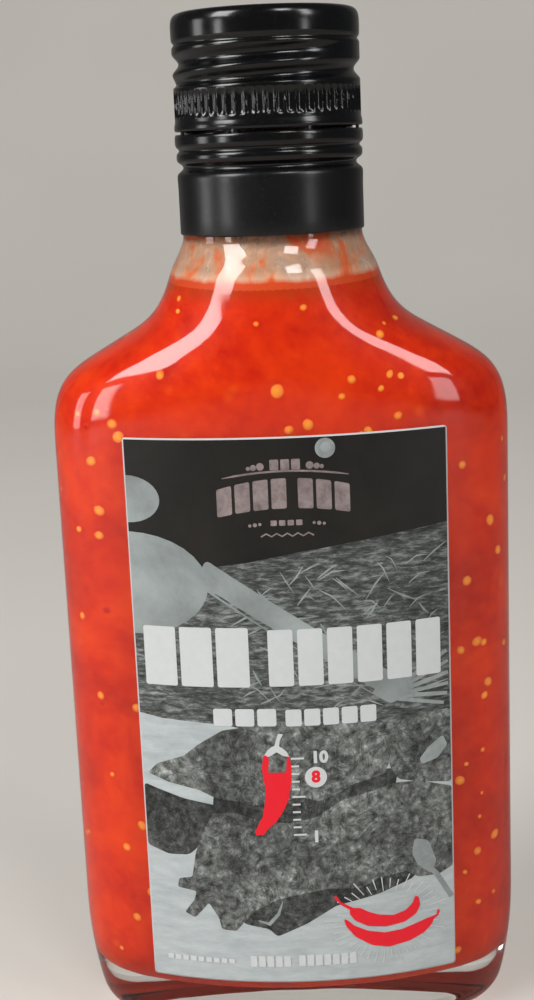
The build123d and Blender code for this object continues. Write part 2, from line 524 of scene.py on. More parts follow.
SEED_COUNT = 170
FLAKE_COUNT = 60
SEED_THICKNESS = 0.34  # as a share of its length
SEED_FLOOR = 12.0  # no seeds lower than this, nor this near to the level
SEED_CEILING = FILL_LEVEL - 2.0
BIG_SEEDS = (  # x, height and length of the ones seen on the front
    (0.0, 112.4, 3.9), (4.6, 106.9, 3.0), (1.6, 106.2, 2.2), (-25.6, 105.2, 3.5),
    (-30.4, 101.0, 2.7), (-29.6, 92.8, 3.0), (-29.9, 88.6, 2.3), (11.6, 113.6, 2.0),
    (18.8, 107.4, 2.0), (-18.2, 115.0, 2.0), (-24.0, 119.0, 1.9), (29.0, 98.3, 2.0),
    (33.2, 88.2, 3.1), (34.4, 82.6, 2.7), (29.5, 78.8, 2.6), (31.0, 68.0, 2.8),
    (28.2, 67.0, 2.2), (27.8, 44.0, 3.0), (-24.6, 25.8, 2.7), (-28.6, 33.5, 2.2),
    (-27.6, 20.6, 2.4), (-31.4, 60.5, 2.0), (-33.4, 74.0, 1.9), (30.6, 30.4, 2.2),
)


def seed_shape(name, rough):
    """A flat seed or flake with a soft rim; its attribute is 1 in the middle and 0 at the rim."""
    drop_all()
    bpy.ops.mesh.primitive_uv_sphere_add(segments=12, ring_count=10, radius=0.5, enter_editmode=True)
    pick_all()
    bpy.ops.transform.resize(value=(1.0, 0.86, SEED_THICKNESS))
    mesh = bmesh.from_edit_mesh(bpy.context.object.data)
    for vertex in mesh.verts:
        vertex.select_set(vertex.co.x > 0.3)
    mesh.select_flush(True)
    bpy.ops.transform.resize(value=(1.0 + rough, 0.7 - rough, 1.0))
    piece = leave(80)
    piece.name = name
    body = piece.data.attributes.new("middle", "FLOAT", "POINT")
    for vertex, value in zip(piece.data.vertices, body.data):
        value.value = max(0.0, 1 - 2.0 * math.hypot(vertex.co.x, vertex.co.y))
    return piece


def rounded(place):
    """Sorts places the same way on every run."""
    return [round(number / MM, 2) for number in (place.z, place.x, place.y)]


def wall_frames(fill):
    """Places on the sauce's skin with the way out of it, each weighted by its area."""
    low = SEED_FLOOR * MM
    high = SEED_CEILING * MM
    faces = [face for face in fill.data.polygons if low < face.center.z < high]
    faces.sort(key=lambda face: rounded(face.center))
    places = []
    total = 0.0
    for face in faces:
        total += face.area
        corners = [fill.data.vertices[index].co.copy() for index in face.vertices]
        first = min(range(len(corners)), key=lambda index: rounded(corners[index]))
        corners = corners[first:] + corners[:first]
        places.append((total, corners, face.normal.copy()))
    return places, total


def within(corners, chance):
    """A random place on one face of the sauce's skin."""
    along = chance.random()
    near = corners[0].lerp(corners[1], along)
    far = corners[-1].lerp(corners[-2], along)
    return near.lerp(far, chance.random())


def nearest_frame(fill, x, height):
    """The place on the front of the sauce that is seen at this x and height."""
    target = Vector((x * MM, 0, height * MM))
    best = None
    for face in fill.data.polygons:
        if face.normal.y < 0 and face.center.z > 10 * MM:
            gap = math.hypot(face.center.x - target.x, face.center.z - target.z)
            if best is None or gap < best[0]:
                best = (gap, face.center.copy(), face.normal.copy())
    _, place, outward = best
    shift = Vector((target.x - place.x, 0, target.z - place.z))
    return place + shift - outward * shift.dot(outward), outward


def stick_on(pattern, place, outward, size, sink, twist):
    """A copy of a seed that lies flat against the wall at this place."""
    copy = pattern.copy()
    copy.data = pattern.data.copy()
    bpy.context.collection.objects.link(copy)
    lie = outward.to_track_quat("Z", "Y").to_matrix().to_4x4()
    turn = Matrix.Rotation(twist, 4, "Z")
    grow = Matrix.Scale(size * MM, 4)
    copy.data.transform(Matrix.Translation(place - outward * sink * MM) @ lie @ turn @ grow)
    return copy


def scatter(fill, pattern, count, sizes, chance, name, extra=()):
    places, total = wall_frames(fill)
    copies = []
    for _ in range(count):
        mark = chance.random() * total
        corners, outward = next((c, n) for reach, c, n in places if reach >= mark)
        place = within(corners, chance)
        size = sizes[0] + (sizes[1] - sizes[0]) * chance.random() ** 1.6
        sink = size * SEED_THICKNESS / 2 - chance.uniform(0.02, 0.12)
        copies.append(stick_on(pattern, place, outward, size, sink, chance.uniform(0, 6)))
    for x, height, size in extra:
        place, outward = nearest_frame(fill, x, height)
        sink = size * SEED_THICKNESS / 2 - 0.12
        copies.append(stick_on(pattern, place, outward, size, sink, chance.uniform(0, 6)))
    bpy.data.objects.remove(pattern)
    return join(copies, name)


# Screw cap


def cap_rows_low():
    """Outside of the band and the skirt, from the lower edge to the break."""
    return [
        (14.86, 0.02), (14.96, 0.12), (15.0, 0.3), (15.0, 2.5), (15.0, 5.0), (15.0, 7.2),
        (15.04, 8.4), (15.05, 9.0), (15.0, 9.4), (14.86, 9.7), (14.5, 10.0), (14.2, 10.25),
        (14.05, 10.5), (14.05, 10.75), (14.2, 11.0), (14.55, 11.25), (14.88, 11.5), (15.02, 11.8),
        (15.05, 12.2), (15.03, 12.6), (14.92, 12.85), (14.72, 13.05), (14.6, 13.25), (14.66, 13.45),
        (14.86, 13.65), (15.05, 13.85), (15.16, 14.1), (15.2, 14.4), (15.2, 15.2), (15.16, 15.5),
        (15.04, 15.78), (14.86, 15.82),
    ]


THREAD_FOOT = 23.0
THREAD_HEAD = 29.0
THREAD_ROWS = 30


def cap_rows_high():
    """Outside of the cap over the break, up to the middle of its top."""
    rows = [
        (14.84, 16.26), (15.02, 16.28), (15.15, 16.42), (15.18, 16.8), (15.12, 17.2), (15.03, 17.6),
        (14.98, 17.85), (15.0, 18.1), (15.0, 18.35), (15.0, 18.6), (15.0, 19.0), (15.0, 19.6),
        (15.0, 20.4), (15.0, 21.2), (15.0, 21.8), (15.0, 22.15), (15.0, 22.4), (15.0, 22.65),
    ]
    climb = THREAD_HEAD - THREAD_FOOT
    rows += [(15.0, THREAD_FOOT + climb * step / THREAD_ROWS) for step in range(THREAD_ROWS + 1)]
    rows += [
        (14.96, 29.2), (14.84, 29.4), (14.68, 29.6), (14.68, 29.8), (14.84, 30.0), (14.97, 30.2),
        (15.02, 30.6), (15.04, 31.2), (15.04, 32.0), (15.03, 32.7), (14.97, 33.2), (14.82, 33.7),
        (14.55, 34.08), (14.2, 34.32), (13.75, 34.46), (13.2, 34.5), (12.6, 34.46), (12.2, 34.4),
        (8.0, 34.4), (4.0, 34.4), (0, 34.4),
    ]
    return rows


def cap_skin(name, rows):
    skin = new_part(name)
    draw_line([(radius, 0, CAP_BOTTOM + height) for radius, height in rows])
    turn_line(CAP_COLUMNS)
    return skin


FLUTES = 60
FLUTE_LOW = 18.35
FLUTE_HIGH = 22.4
FLUTE_DEPTH = 0.4
FLUTE_END = 0.75  # height of its round end
FLUTE_ROUND = (0.0, 0.62, 0.95, 1.0)  # share of the depth, column by column from the rib


def press_flutes():
    """Upright hollows with round ends: each column of points is drawn in towards the axis."""
    step = CAP_COLUMNS // FLUTES
    rows = [height for _, height in cap_rows_high() if FLUTE_LOW < height < FLUTE_HIGH]
    for row in rows:
        end = min(row - FLUTE_LOW, FLUTE_HIGH - row)
        arch = min(1.0, end / FLUTE_END) ** 0.5
        level = CAP_BOTTOM + row
        for kind in (1, 2, 3):
            late = 0.35 if kind == 1 else 0.0
            depth = FLUTE_DEPTH * FLUTE_ROUND[kind] * max(0.0, arch - late * (1 - arch))

            def in_hollow(place):
                if abs(place.z - level) > 0.02:
                    return False
                column = round(math.degrees(math.atan2(place.y, place.x))) % step
                return min(column, step - column) == kind

            pick(in_hollow)
            shrink = 1 - depth / CAP_RADIUS
            bpy.ops.transform.resize(value=(shrink, shrink, 1), center_override=(0, 0, level * MM))


THREAD_PITCH = 3.3
THREAD_FRONT = 24.2  # height of the lower turn at the front
THREAD_DEPTH = 1.0
THREAD_REACH = 1.6  # half width of the groove
THREAD_START = -205.0  # degrees round from +X, and from the lower turn's front to its run-out
THREAD_END = 330.0


def roll_thread():
    """Rolls the helical groove, which rises to the right all round the cap."""
    mesh = bmesh.from_edit_mesh(bpy.context.object.data)
    for vertex in mesh.verts:
        height = vertex.co.z / MM - CAP_BOTTOM
        if not THREAD_FOOT - 0.1 < height < THREAD_HEAD + 0.1:
            continue
        around = math.degrees(math.atan2(vertex.co.y, vertex.co.x))
        deepest = 0.0
        for lap in (-1, 0, 1):
            turn = around + 360 * lap
            run = min(turn - THREAD_START, THREAD_END - turn)
            if run <= 0:
                continue
            fade = min(1.0, run / 50)
            fade = fade * fade * (3 - 2 * fade)
            middle = THREAD_FRONT + THREAD_PITCH * (turn + 90) / 360
            off = abs(height - middle) / THREAD_REACH
            if off < 1:
                shape = 0.5 + 0.5 * math.cos(math.pi * off)
                deepest = max(deepest, fade * shape**0.8)
        edge = min(1.0, (height - THREAD_FOOT) / 0.5, (THREAD_HEAD - height) / 0.35)
        shrink = 1 - THREAD_DEPTH * deepest * max(0.0, edge) / CAP_RADIUS
        vertex.co.x *= shrink
        vertex.co.y *= shrink
    bmesh.update_edit_mesh(bpy.context.object.data)


BRIDGES = 8
BRIDGE_TURN = 26.0
BRIDGE_PLACE = (14.98, 0.0, CAP_BOTTOM + 16.05)
BRIDGE_SIZE = (0.26, 1.1, 1.1)


def cap_bridges():
    """Small webs that still join the band to the cap over the break."""
    drop_all()
    middle = Vector(BRIDGE_PLACE) * MM
    bpy.ops.mesh.primitive_cube_add(size=MM, location=middle, enter_editmode=True)
    pick_all()
    bpy.ops.transform.resize(value=BRIDGE_SIZE, center_override=middle)
    bpy.ops.mesh.bevel(offset=0.08 * MM, segments=2, affect="EDGES")
    pick_all()
    bpy.ops.transform.rotate(
        value=-math.radians(BRIDGE_TURN), orient_axis="Z", center_override=(0, 0, 0)
    )
    pick_all()
    bpy.ops.mesh.spin(
        steps=BRIDGES, angle=math.tau, axis=(0, 0, 1), center=(0, 0, 0), dupli=True
    )
    tidy_mesh()
    return leave(40)


def screw_cap():
    low = cap_skin("cap_low", cap_rows_low())
    leave(0)
    high = cap_skin("cap_high", cap_rows_high())
    press_flutes()
    roll_thread()
    tidy_mesh()
    leave(0)
    for part in (low, high):
        apply_modifier(part, "SOLIDIFY", thickness=CAP_METAL * MM, offset=-1, use_even_offset=False)
    cap = join([high, low, cap_bridges()], "screw_cap_shell")
    bpy.ops.object.shade_smooth_by_angle(angle=math.radians(87))
    return cap


# Label


def paper_label():
    """The sheet, wrapped round the crown of the front face, with rounded corners."""
    sheet = new_part("label_paper_sheet")
    left = LABEL_MIDDLE - LABEL_WIDTH / 2
    right = LABEL_MIDDLE + LABEL_WIDTH / 2
    radius = PAPER_SURFACE
    start = math.asin(left / radius)
    end = math.asin(right / radius)
    x = left
    y = CROWN_CENTRE - math.sqrt(radius**2 - left**2)
    rise = LABEL_HEIGHT / 24
    draw_line([(x, y, LABEL_BOTTOM + rise * step) for step in range(25)])
    pick_all()
    bpy.ops.mesh.spin(
        steps=90, angle=end - start, axis=(0, 0, -1), center=(0, CROWN_CENTRE * MM, 0)
    )
    corners = [(a, b) for a in (left, right) for b in (LABEL_BOTTOM, LABEL_BOTTOM + LABEL_HEIGHT)]
    pick(lambda p: any(abs(p.x - a) < 0.05 and abs(p.z - b) < 0.05 for a, b in corners))
    bpy.ops.mesh.bevel(offset=0.55 * MM, segments=4, affect="VERTICES")
    tidy_mesh()
    mesh = bmesh.from_edit_mesh(sheet.data)
    if sum(face.normal.y for face in mesh.faces) > 0:
        bpy.ops.mesh.flip_normals()
    leave(40)
    apply_modifier(sheet, "SOLIDIFY", thickness=PAPER_THICKNESS * MM, offset=-1)
    return sheet


class Ink:
    """Flat shapes of one ink that are drawn on the label's plane and wrapped onto the paper."""

    def __init__(self, name, layer, paper):
        self.name = name
        self.layer = layer
        self.paper = paper
        self.shapes = []

    def outline(self, points, soften=0.0):
        """A filled outline of (x, height) points, with its corners softened."""
        new_part(self.name)
        draw_line([(LABEL_MIDDLE + x, DRAWING_PLANE, LABEL_BOTTOM + height) for x, height in points])
        pick_all()
        bpy.ops.mesh.edge_face_add()
        if soften:
            bpy.ops.mesh.bevel(offset=soften * MM, segments=3, affect="VERTICES")
        self.wrap()

    def disc(self, x, height, radius, sides=24):
        """A round spot."""
        points = []
        for step in range(sides):
            turn = math.tau * step / sides
            points.append((x + radius * math.cos(turn), height + radius * math.sin(turn)))
        self.outline(points)

    def bar(self, x0, x1, z0, z1, soften=0.0):
        """An upright rectangle."""
        self.outline([(x0, z0), (x1, z0), (x1, z1), (x0, z1)], soften)

    def stroke(self, points, width):
        """A line of this width through the points, which may taper: (x, height, share of width)."""
        left, right = [], []
        for index, (x, height, share) in enumerate(points):
            before = points[max(index - 1, 0)]
            after = points[min(index + 1, len(points) - 1)]
            along = Vector((after[0] - before[0], after[1] - before[1])).normalized()
            across = Vector((-along.y, along.x)) * width * share / 2
            left.append((x + across.x, height + across.y))
            right.append((x - across.x, height - across.y))
        self.outline(left + right[::-1])

    def figure(self, text, x, height, size):
        """A plain number."""
        drop_all()
        bpy.ops.object.text_add()
        label = bpy.context.object
        label.data.body = text
        label.data.align_x = "CENTER"
        label.data.align_y = "CENTER"
        label.data.size = size * MM
        label.data.offset = 0.05 * size * MM
        label.data.resolution_u = 4
        bpy.ops.object.convert(target="MESH")
        bpy.ops.object.mode_set(mode="EDIT")
        pick_all()
        bpy.ops.mesh.remove_doubles(threshold=MERGE)
        bpy.ops.transform.rotate(value=-math.pi / 2, orient_axis="X", center_override=(0, 0, 0))
        move = Vector((LABEL_MIDDLE + x, DRAWING_PLANE, LABEL_BOTTOM + height)) * MM
        bpy.ops.transform.translate(value=move)
        self.wrap()

    def wrap(self):
        """Cuts the shape into upright strips and lays them on the paper."""
        mesh = bmesh.from_edit_mesh(bpy.context.object.data)
        low = min(vertex.co.x for vertex in mesh.verts) / MM
        high = max(vertex.co.x for vertex in mesh.verts) / MM
        place = math.ceil(low / STRIP) * STRIP
        while place < high:
            pick_all()
            bpy.ops.mesh.bisect(plane_co=(place * MM, 0, 0), plane_no=(1, 0, 0))
            place += STRIP
        pick_all()
        bpy.ops.mesh.normals_make_consistent(inside=False)
        mesh = bmesh.from_edit_mesh(bpy.context.object.data)
        if sum(face.normal.y for face in mesh.faces) > 0:
            bpy.ops.mesh.flip_normals()
        shape = leave(0)
        apply_modifier(
            shape, "SHRINKWRAP", target=self.paper, wrap_method="PROJECT", use_project_y=True,
            use_negative_direction=True, use_positive_direction=True,
            offset=self.layer * INK_STEP * MM, wrap_mode="ABOVE_SURFACE",
        )
        apply_modifier(shape, "SOLIDIFY", thickness=INK_THICKNESS * MM, offset=-1)
        self.shapes.append(shape)

    def finish(self, material):
        piece = join(self.shapes, self.name) if len(self.shapes) > 1 else self.shapes[0]
        bpy.ops.object.shade_smooth_by_angle(angle=math.radians(30))
        piece.name = self.name
        hand_over(piece, material)


# Finishes


def shadow_glass(nodes, shader, material):
    """Lets lamps shine through glass, onto what is in it."""
    path = nodes.add("ShaderNodeLightPath")
    clear = nodes.add("ShaderNodeBsdfTransparent", {"Color": (0.97, 0.985, 0.97, 1)})
    mix = nodes.add("ShaderNodeMixShader", {
        0: path.outputs["Is Shadow Ray"], 1: shader.outputs[0], 2: clear.outputs[0],
    })
    output = material.node_tree.nodes["Material Output"]
    nodes.put(output, "Surface", mix.outputs[0])


def glass_finish():
    material, nodes, shader = new_finish("clear_bottle_glass")
    nodes.put(shader, "Base Color", (0.97, 0.99, 0.975, 1))
    nodes.put(shader, "Transmission Weight", 1.0)
    nodes.put(shader, "IOR", 1.5)
    place = nodes.place()
    ripple = nodes.noise(place, 55.0, 2.0)
    haze = nodes.add("ShaderNodeMapRange", {
        "Value": nodes.height(), "From Min": 8 * MM, "From Max": 14 * MM, "To Min": 0.01, "To Max": 0.07,
    })
    nodes.put(shader, "Roughness", haze.outputs["Result"])
    nodes.put(shader, "Normal", nodes.bump(ripple, 0.35, 0.0006))
    shadow_glass(nodes, shader, material)
    return material


def sauce_finish():
    material, nodes, shader = new_finish("chilli_sauce")
    place = nodes.place()
    clouds = nodes.noise(place, 70.0, 4.0, 0.6, Distortion=0.6)
    pulp = nodes.noise(place, 420.0, 3.0, 0.6)
    base = nodes.ramp(clouds, [
        (0.3, (0.38, 0.006, 0.001)), (0.5, (0.53, 0.017, 0.001)), (0.72, (0.68, 0.044, 0.0015)),
    ], colours=True)
    patches = nodes.ramp(pulp, [(0.35, 0.0), (0.7, 1.0)])
    soft = nodes.math("MULTIPLY", patches, 0.3)
    shade = nodes.blend(soft, base, (0.78, 0.068, 0.003, 1))
    cells = nodes.add("ShaderNodeTexVoronoi", {"Vector": place, "Scale": 190.0, "Randomness": 1.0})
    spots = nodes.ramp(cells.outputs["Distance"], [(0.0, 1.0), (0.24, 0.0)])
    few = nodes.ramp(nodes.noise(place, 90.0, 1.0), [(0.52, 0.0), (0.62, 1.0)])
    glow = nodes.math("MULTIPLY", spots, few)
    glow = nodes.math("MULTIPLY", glow, 0.5)
    shade = nodes.blend(glow, shade, (0.84, 0.17, 0.01, 1))
    # darker in cloudy patches over the last 3.2 mm below the level
    darker_below_level = nodes.math("SUBTRACT", nodes.height(), (FILL_LEVEL - 3.2) * MM)
    darker_below_level = nodes.math("MULTIPLY", darker_below_level, 1 / (3.2 * MM), clamp=True)
    darker_below_level = nodes.math("MULTIPLY", darker_below_level, nodes.ramp(clouds, [(0.38, 0.0), (0.56, 1.0)]))
    shade = nodes.blend(darker_below_level, shade, (0.30, 0.035, 0.002, 1))
    nodes.put(shader, "Base Color", shade)
    nodes.put(shader, "Roughness", 0.4)
    nodes.put(shader, "IOR", 1.34)
    nodes.put(shader, "Specular IOR Level", 0.12)
    nodes.put(shader, "Subsurface Weight", 0.35)
    nodes.put(shader, "Subsurface Radius", (1.0, 0.22, 0.05))
    nodes.put(shader, "Subsurface Scale", 0.0035)
    nodes.put(shader, "Normal", nodes.bump(pulp, 0.3, 0.0004))
    return material


def film_finish():
    material, nodes, shader = new_finish("sauce_smear")
    place = nodes.place(scale=(1, 1, 0.7))
    smear = nodes.noise(place, 120.0, 4.0, 0.6, Distortion=1.0)
    fine = nodes.noise(place, 700.0, 3.0, 0.6)
    shade = nodes.ramp(smear, [
        (0.34, (0.62, 0.43, 0.32)), (0.50, (0.54, 0.30, 0.18)), (0.60, (0.58, 0.13, 0.04)),
        (0.74, (0.60, 0.05, 0.01)),
    ], colours=True)
    low = nodes.math("SUBTRACT", nodes.height(), (FILL_LEVEL - 0.6) * MM)
    low = nodes.math("MULTIPLY", low, 1 / (3.0 * MM), clamp=True)
    low = nodes.math("SUBTRACT", 1.0, low, clamp=True)
    ragged = nodes.math("MULTIPLY", nodes.math("ADD", low, smear), low)
    edge = nodes.ramp(ragged, [(0.25, 0.0), (0.62, 1.0)])
    shade = nodes.blend(edge, shade, (0.50, 0.05, 0.006, 1))
    nodes.put(shader, "Base Color", shade)
    cover = nodes.math("ADD", nodes.ramp(smear, [(0.40, 0.42), (0.66, 0.95)]), low)
    cover = nodes.math("ADD", cover, nodes.ramp(fine, [(0.5, 0.0), (0.8, 0.3)]), clamp=True)
    nodes.put(shader, "Alpha", cover)
    nodes.put(shader, "Roughness", 0.5)
    nodes.put(shader, "Specular IOR Level", 0.15)
    return material


def seed_finish(name, middle, rim):
    """Pale in the middle and the sauce's own colour at the rim."""
    material, nodes, shader = new_finish(name)
    share = nodes.add("ShaderNodeAttribute", attribute_name="middle").outputs["Fac"]
    grain = nodes.noise(nodes.place(), 900.0, 2.0)
    share = nodes.math("ADD", share, nodes.math("MULTIPLY", grain, 0.3), clamp=True)
    soft = nodes.ramp(share, [(0.25, 0.0), (1.0, 0.9)])
    nodes.put(shader, "Base Color", nodes.blend(soft, rim, middle))
    nodes.put(shader, "Roughness", 0.45)
    nodes.put(shader, "Specular IOR Level", 0.12)
    nodes.put(shader, "Subsurface Weight", 0.2)
    nodes.put(shader, "Subsurface Radius", (1.0, 0.5, 0.1))
    nodes.put(shader, "Subsurface Scale", 0.001)
    return material


def cap_finish():
    """Black lacquer: glossy over the break, satin and finely scratched on the skirt."""
    material, nodes, shader = new_finish("black_cap_lacquer")
    place = nodes.place()
    skirt = nodes.add("ShaderNodeMapRange", {
        "Value": nodes.height(),
        "From Min": (CAP_BOTTOM + 11.0) * MM, "From Max": (CAP_BOTTOM + 9.6) * MM,
    }).outputs["Result"]
    grain = add_grain(nodes, place, 900.0)
    long_place = nodes.place(scale=(1, 1, 9), turn=(0.0, 0.5, 0.2))
    scratch = nodes.noise(long_place, 900.0, 2.0, 0.7)
    lines = nodes.ramp(scratch, [(0.64, 0.0), (0.70, 1.0)])
    worn = nodes.math("MULTIPLY", lines, 0.10)
    base = nodes.blend(worn, (0.003, 0.003, 0.0035, 1), (0.06, 0.06, 0.062, 1))
    dust = nodes.math("MULTIPLY", grain.outputs["Specks"], 0.03)
    nodes.put(shader, "Base Color", nodes.blend(dust, base, (0.25, 0.24, 0.23, 1)))
    rough = nodes.math("MULTIPLY", grain.outputs["Mottle"], 0.10)
    rough = nodes.math("ADD", rough, 0.13)
    rough = nodes.math("ADD", rough, nodes.math("MULTIPLY", skirt, 0.12))
    nodes.put(shader, "Roughness", rough)
    nodes.put(shader, "Specular IOR Level", 0.5)
    nodes.put(shader, "Normal", nodes.bump(grain.outputs["Mottle"], 0.03, 0.0001))
    return material


def print_sheen(nodes, shader, mottle):
    """Satin of coated paper, a little uneven."""
    rough = nodes.math("MULTIPLY", mottle, 0.12)
    nodes.put(shader, "Roughness", nodes.math("ADD", rough, 0.36))
    nodes.put(shader, "Specular IOR Level", 0.3)


def paper_finish(name, shade, mottle=0.04):
    """Coated paper or one flat ink on it."""
    material, nodes, shader = new_finish(name)
    grain = add_grain(nodes, nodes.place(), 700.0)
    dark = tuple(level * (1 - 3 * mottle) for level in shade[:3]) + (1,)
    nodes.put(shader, "Base Color", nodes.blend(grain.outputs["Mottle"], dark, shade))
    print_sheen(nodes, shader, grain.outputs["Mottle"])
    return material


def printed_finish(name, stops, scale, turn=0.0, stretch=1.0, light=None):
    """A mottled printed field: greys by a stretched, turned noise."""
    material, nodes, shader = new_finish(name)
    place = nodes.place(scale=(1, 1, stretch), turn=(0, turn, 0))
    rough_part = nodes.noise(place, scale, 6.0, 0.72, Distortion=0.3)
    shade = nodes.ramp(rough_part, stops, colours=True)
    if light:
        spread = nodes.ramp(nodes.noise(nodes.place(), light, 2.0), [(0.35, 0.55), (0.65, 1.25)])
        shade = nodes.blend(1.0, shade, spread, "MULTIPLY")
    nodes.put(shader, "Base Color", shade)
    print_sheen(nodes, shader, add_grain(nodes, place, 800.0).outputs["Mottle"])
    return material


def grilled_finish(name, level):
    """A printed charred crust: pits, crumbs and creases in greys, at this level of light."""
    material, nodes, shader = new_finish(name)
    place = nodes.place()
    crumbs = nodes.noise(place, 720.0, 6.0, 0.76, Distortion=0.3)
    shade = nodes.ramp(crumbs, greys(
        (0.32, (44, 45, 42)), (0.45, (94, 96, 93)), (0.56, (126, 129, 126)), (0.72, (186, 190, 188)),
    ), colours=True)
    pits = nodes.add("ShaderNodeTexVoronoi", {"Vector": place, "Scale": 620.0}).outputs["Distance"]
    pits = nodes.ramp(pits, [(0.1, 0.74), (0.5, 1.12)])
    shade = nodes.blend(1.0, shade, pits, "MULTIPLY")
    bent = nodes.noise(place, 170.0, 4.0, 0.6, Distortion=1.2)
    crease = nodes.math("ABSOLUTE", nodes.math("SUBTRACT", bent, 0.5))
    crease = nodes.ramp(crease, [(0.0, 0.3), (0.03, 1.0)])
    shade = nodes.blend(0.8, shade, crease, "MULTIPLY")
    patches = nodes.ramp(nodes.noise(place, 75.0, 2.0), [(0.36, 0.62 * level), (0.64, 1.3 * level)])
    shade = nodes.blend(1.0, shade, patches, "MULTIPLY")
    nodes.put(shader, "Base Color", shade)
    print_sheen(nodes, shader, crumbs)
    return material


def greys(*levels):
    return [(place, colour(*shade)[:3]) for place, shade in levels]


# What the label shows: plain fields and simple shapes


def label_print(paper):
    white = paper_finish("ink_white", colour(226, 229, 229))
    red = paper_finish("ink_red", colour(255, 38, 54), 0.02)
    dark = printed_finish(
        "ink_dark_field", greys((0.3, (27, 25, 23)), (0.7, (42, 39, 36))), 60.0
    )
    pale = printed_finish(
        "ink_pale_board", greys((0.3, (178, 186, 187)), (0.7, (208, 215, 215))), 160.0,
        turn=0.35, stretch=4.0,
    )
    herbs = printed_finish(
        "ink_herbs", greys((0.34, (44, 45, 43)), (0.5, (92, 95, 92)), (0.66, (160, 166, 166))),
        420.0, turn=-0.65, stretch=4.0, light=50.0,
    )
    meat = grilled_finish("ink_grilled", 1.02)
    side = grilled_finish("ink_grilled_side", 0.4)
    soft = printed_finish(
        "ink_soft_pale", greys((0.3, (132, 139, 138)), (0.7, (168, 175, 174))), 70.0, light=45.0
    )
    blade = printed_finish(
        "ink_pale_blades", greys((0.3, (128, 134, 133)), (0.7, (176, 183, 182))), 200.0
    )
    foil = printed_finish(
        "ink_foil", greys((0.3, (112, 100, 99)), (0.7, (168, 152, 150))), 500.0
    )

    edge = 25.66
    top = 93.7
    whole = Ink("label_board_field", 1, paper)
    whole.bar(-edge, edge, 0.2, top, soften=0.5)
    whole.finish(pale)

    herb = Ink("label_herb_field", 2, paper)
    herb.outline([
        (-edge, 74.0), (-16, 72.8), (2, 75.6), (edge, 78.6), (edge, 44.0), (12, 44.0),
        (-5.7, 45.0), (-11.5, 46.3), (-22.0, 47.0), (-edge, 47.7),
    ])
    herb.finish(herbs)

    upper = Ink("label_dark_field", 3, paper)
    upper.outline([
        (-edge, 73.7), (-16, 72.5), (-7, 73.7), (2, 75.3), (14, 76.9), (edge, 78.3),
        (edge, top), (-edge, top),
    ])
    upper.finish(dark)

    shadow = Ink("label_slab_sides", 3, paper)
    shadow.outline([
        (-14.0, 33.6), (-12.0, 38.0), (8.0, 38.0), (16.7, 37.3), (16.0, 33.0), (8.3, 31.6),
        (3.4, 28.8), (-1.5, 27.7), (-6.9, 28.3), (-14.4, 29.0),
    ], 0.5)
    shadow.outline([
        (-10.6, 11.9), (-8.0, 17.3), (5.9, 19.0), (13.8, 20.3), (20.6, 19.1), (18.6, 17.2),
        (12.8, 15.2), (5.8, 13.8), (0.8, 10.8), (-4.3, 8.5), (-5.7, 9.9), (-9.6, 10.7),
    ], 0.5)
    shadow.outline([
        (-edge, 35.2), (-24.0, 34.6), (-19.0, 33.0), (-12.6, 31.9), (-12.8, 28.8), (-16.1, 25.3),
        (-18.6, 22.9), (-22.1, 22.7), (-edge, 24.0),
    ], 0.6)
    shadow.finish(side)

    slab = Ink("label_grilled_slabs", 4, paper)
    slab.outline([
        (12.6, 45.3), (17.0, 46.1), (21.9, 46.4), (edge, 46.5), (edge, 33.5), (20.2, 34.4),
        (16.7, 35.4), (15.2, 38.0), (15.7, 40.6), (14.8, 42.7),
    ], 0.5)
    slab.outline([
        (-24.9, 37.1), (-23.2, 38.9), (-18.6, 40.6), (-16.0, 42.8), (-12.0, 45.3), (-5.7, 46.4),
        (1.1, 46.9), (8.7, 46.2), (13.1, 45.0), (15.0, 42.7), (15.7, 40.6), (15.2, 38.3),
        (14.3, 36.6), (11.8, 35.9), (9.4, 35.4), (6.4, 33.8), (3.5, 32.7), (0.6, 33.6),
        (-3.3, 32.7), (-7.2, 32.2), (-10.1, 32.9), (-13.5, 33.3), (-16.4, 34.7), (-21.4, 35.7),
    ], 0.4)
    slab.outline([
        (-17.5, 23.3), (-15.8, 27.7), (-14.2, 30.7), (-10.2, 30.8), (-6.9, 29.6), (-1.5, 29.0),
        (2.9, 29.9), (7.4, 32.7), (12.3, 33.8), (16.2, 34.8), (20.2, 34.6), (edge, 32.7),
        (edge, 18.3), (23.4, 17.2), (19.8, 17.3), (17.8, 18.7), (13.8, 18.3), (9.8, 16.6),
        (4.9, 17.0), (0.0, 16.2), (-4.0, 15.3), (-8.1, 13.1), (-10.1, 10.8), (-11.2, 9.4),
        (-13.7, 9.6), (-14.1, 11.7), (-15.7, 14.3), (-18.2, 11.4), (-19.9, 12.3), (-18.2, 14.6),
        (-17.7, 16.3), (-20.9, 16.8), (-20.6, 18.4), (-18.3, 18.9),
    ], 0.35)
    slab.finish(meat)

    bone = Ink("label_pale_chips", 5, paper)
    bone.outline([
        (20.3, 38.4), (21.8, 40.2), (24.3, 42.0), (25.1, 40.2), (23.4, 38.1), (20.7, 37.4),
    ], 0.4)
    bone.outline([
        (19.2, 24.4), (21.5, 23.7), (22.9, 19.7), (21.9, 17.5), (19.6, 19.5), (18.7, 21.8),
    ], 0.5)
    bone.stroke([(19.8, 20.6, 1.0), (22.8, 17.4, 0.8), (25.4, 12.6, 0.8)], 1.1)
    bone.stroke([(-7.4, 11.4, 0.3), (-5.6, 10.8, 1.0), (-4.0, 12.6, 0.8), (-3.2, 14.9, 0.2)], 0.7)
    bone.finish(blade)

